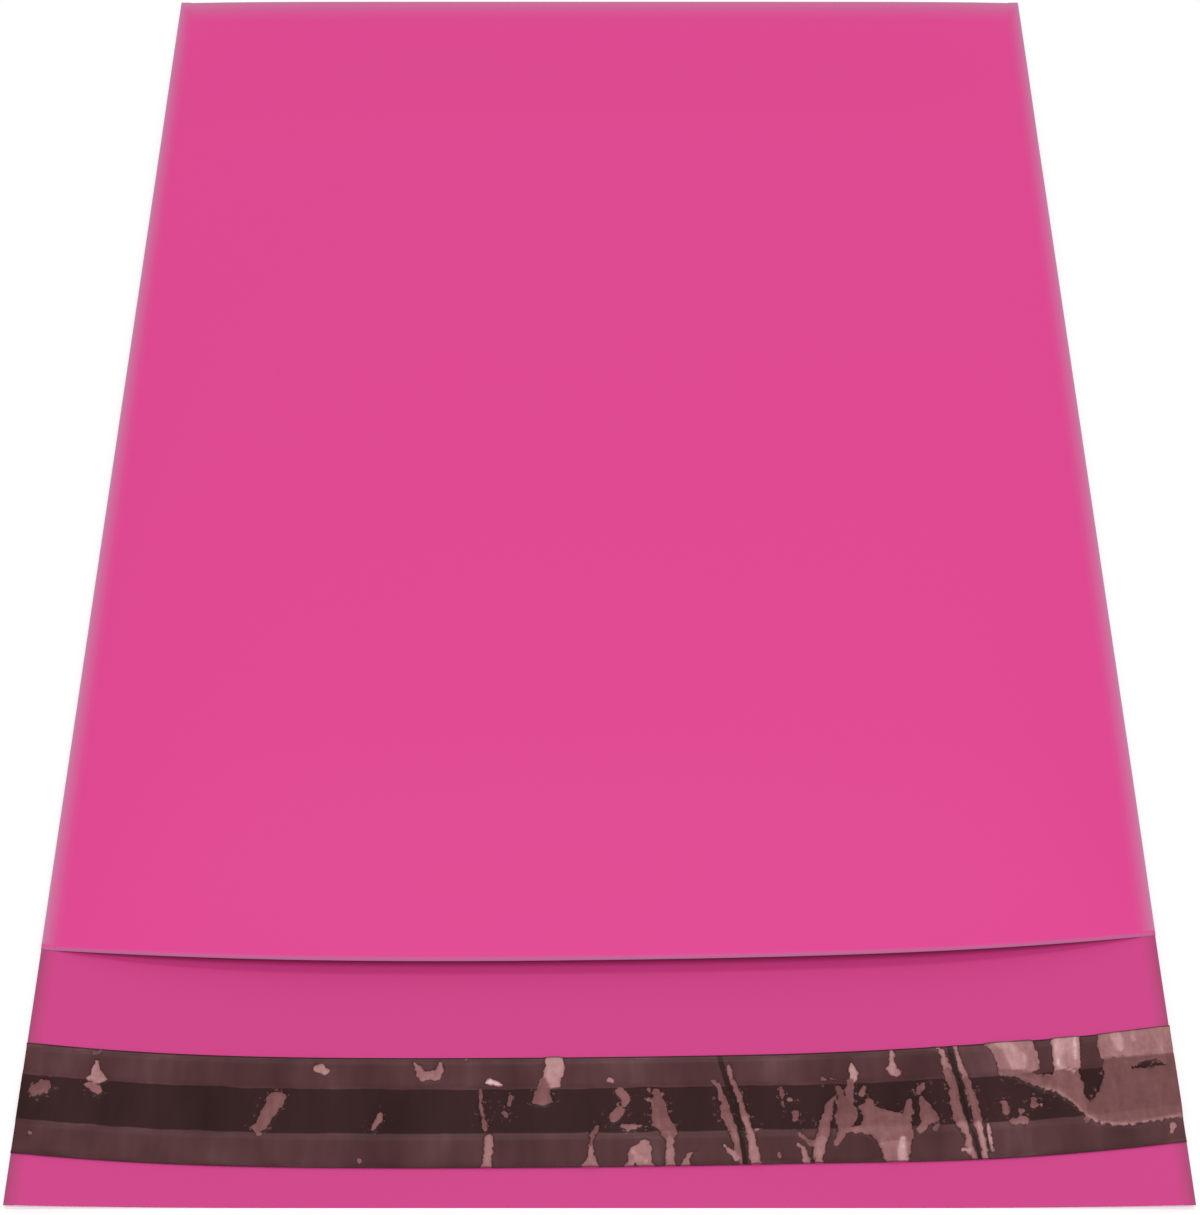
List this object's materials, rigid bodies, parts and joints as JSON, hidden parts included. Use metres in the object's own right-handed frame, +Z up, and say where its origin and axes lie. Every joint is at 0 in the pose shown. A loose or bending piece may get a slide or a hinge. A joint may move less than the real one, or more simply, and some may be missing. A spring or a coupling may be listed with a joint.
{
  "type": "poly mailer bag",
  "caption": "Flat polyethylene mailing bag with a bottom fold, welded sides and an open self-seal flap with a glue band under a release liner.",
  "frame": {"origin": "centre of the bounding box's bottom, on the surface that the bag lies on", "axes": "+X across the bag, to the right as seen from the flap; +Y along the bag from the flap's free edge to the bottom fold; +Z up, out of the front panel"},
  "size_m": [0.2538, 0.39, 0.0064],
  "materials": {
    "film": "satin pink polyethylene film, a shade deeper inside",
    "glue": "hot melt glue seen dark through its liner",
    "liner": "thin glossy brown release film, puckered"
  },
  "bodies": {
    "root": {"film_bag": "film", "glue_band": "glue", "release_liner": "liner"}
  },
  "joints": []
}
